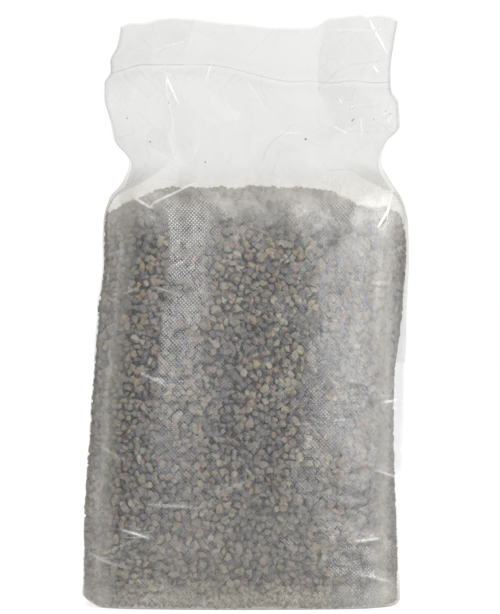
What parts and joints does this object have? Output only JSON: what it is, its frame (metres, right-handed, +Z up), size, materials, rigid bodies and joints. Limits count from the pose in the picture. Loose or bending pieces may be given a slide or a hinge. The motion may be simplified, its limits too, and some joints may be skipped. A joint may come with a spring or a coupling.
{
  "type": "bag of volcanic rock",
  "caption": "Clear gusseted plastic film bag filled with fine volcanic gravel, closed by a thin heat seal below its wavy cut edge.",
  "frame": {"origin": "middle of the base, on the surface that the bag stands on", "axes": "+Z up, -Y out of the front panel, +X to the right of the front panel"},
  "size_m": [0.2252, 0.1221, 0.407],
  "materials": {
    "clear_film": "clear, finely embossed polyethylene film, slightly milky",
    "volcanic_rock": "matte broken volcanic gravel, grey-brown"
  },
  "bodies": {
    "root": {"film_bag": "clear_film", "rock_fill": "volcanic_rock"}
  },
  "joints": []
}
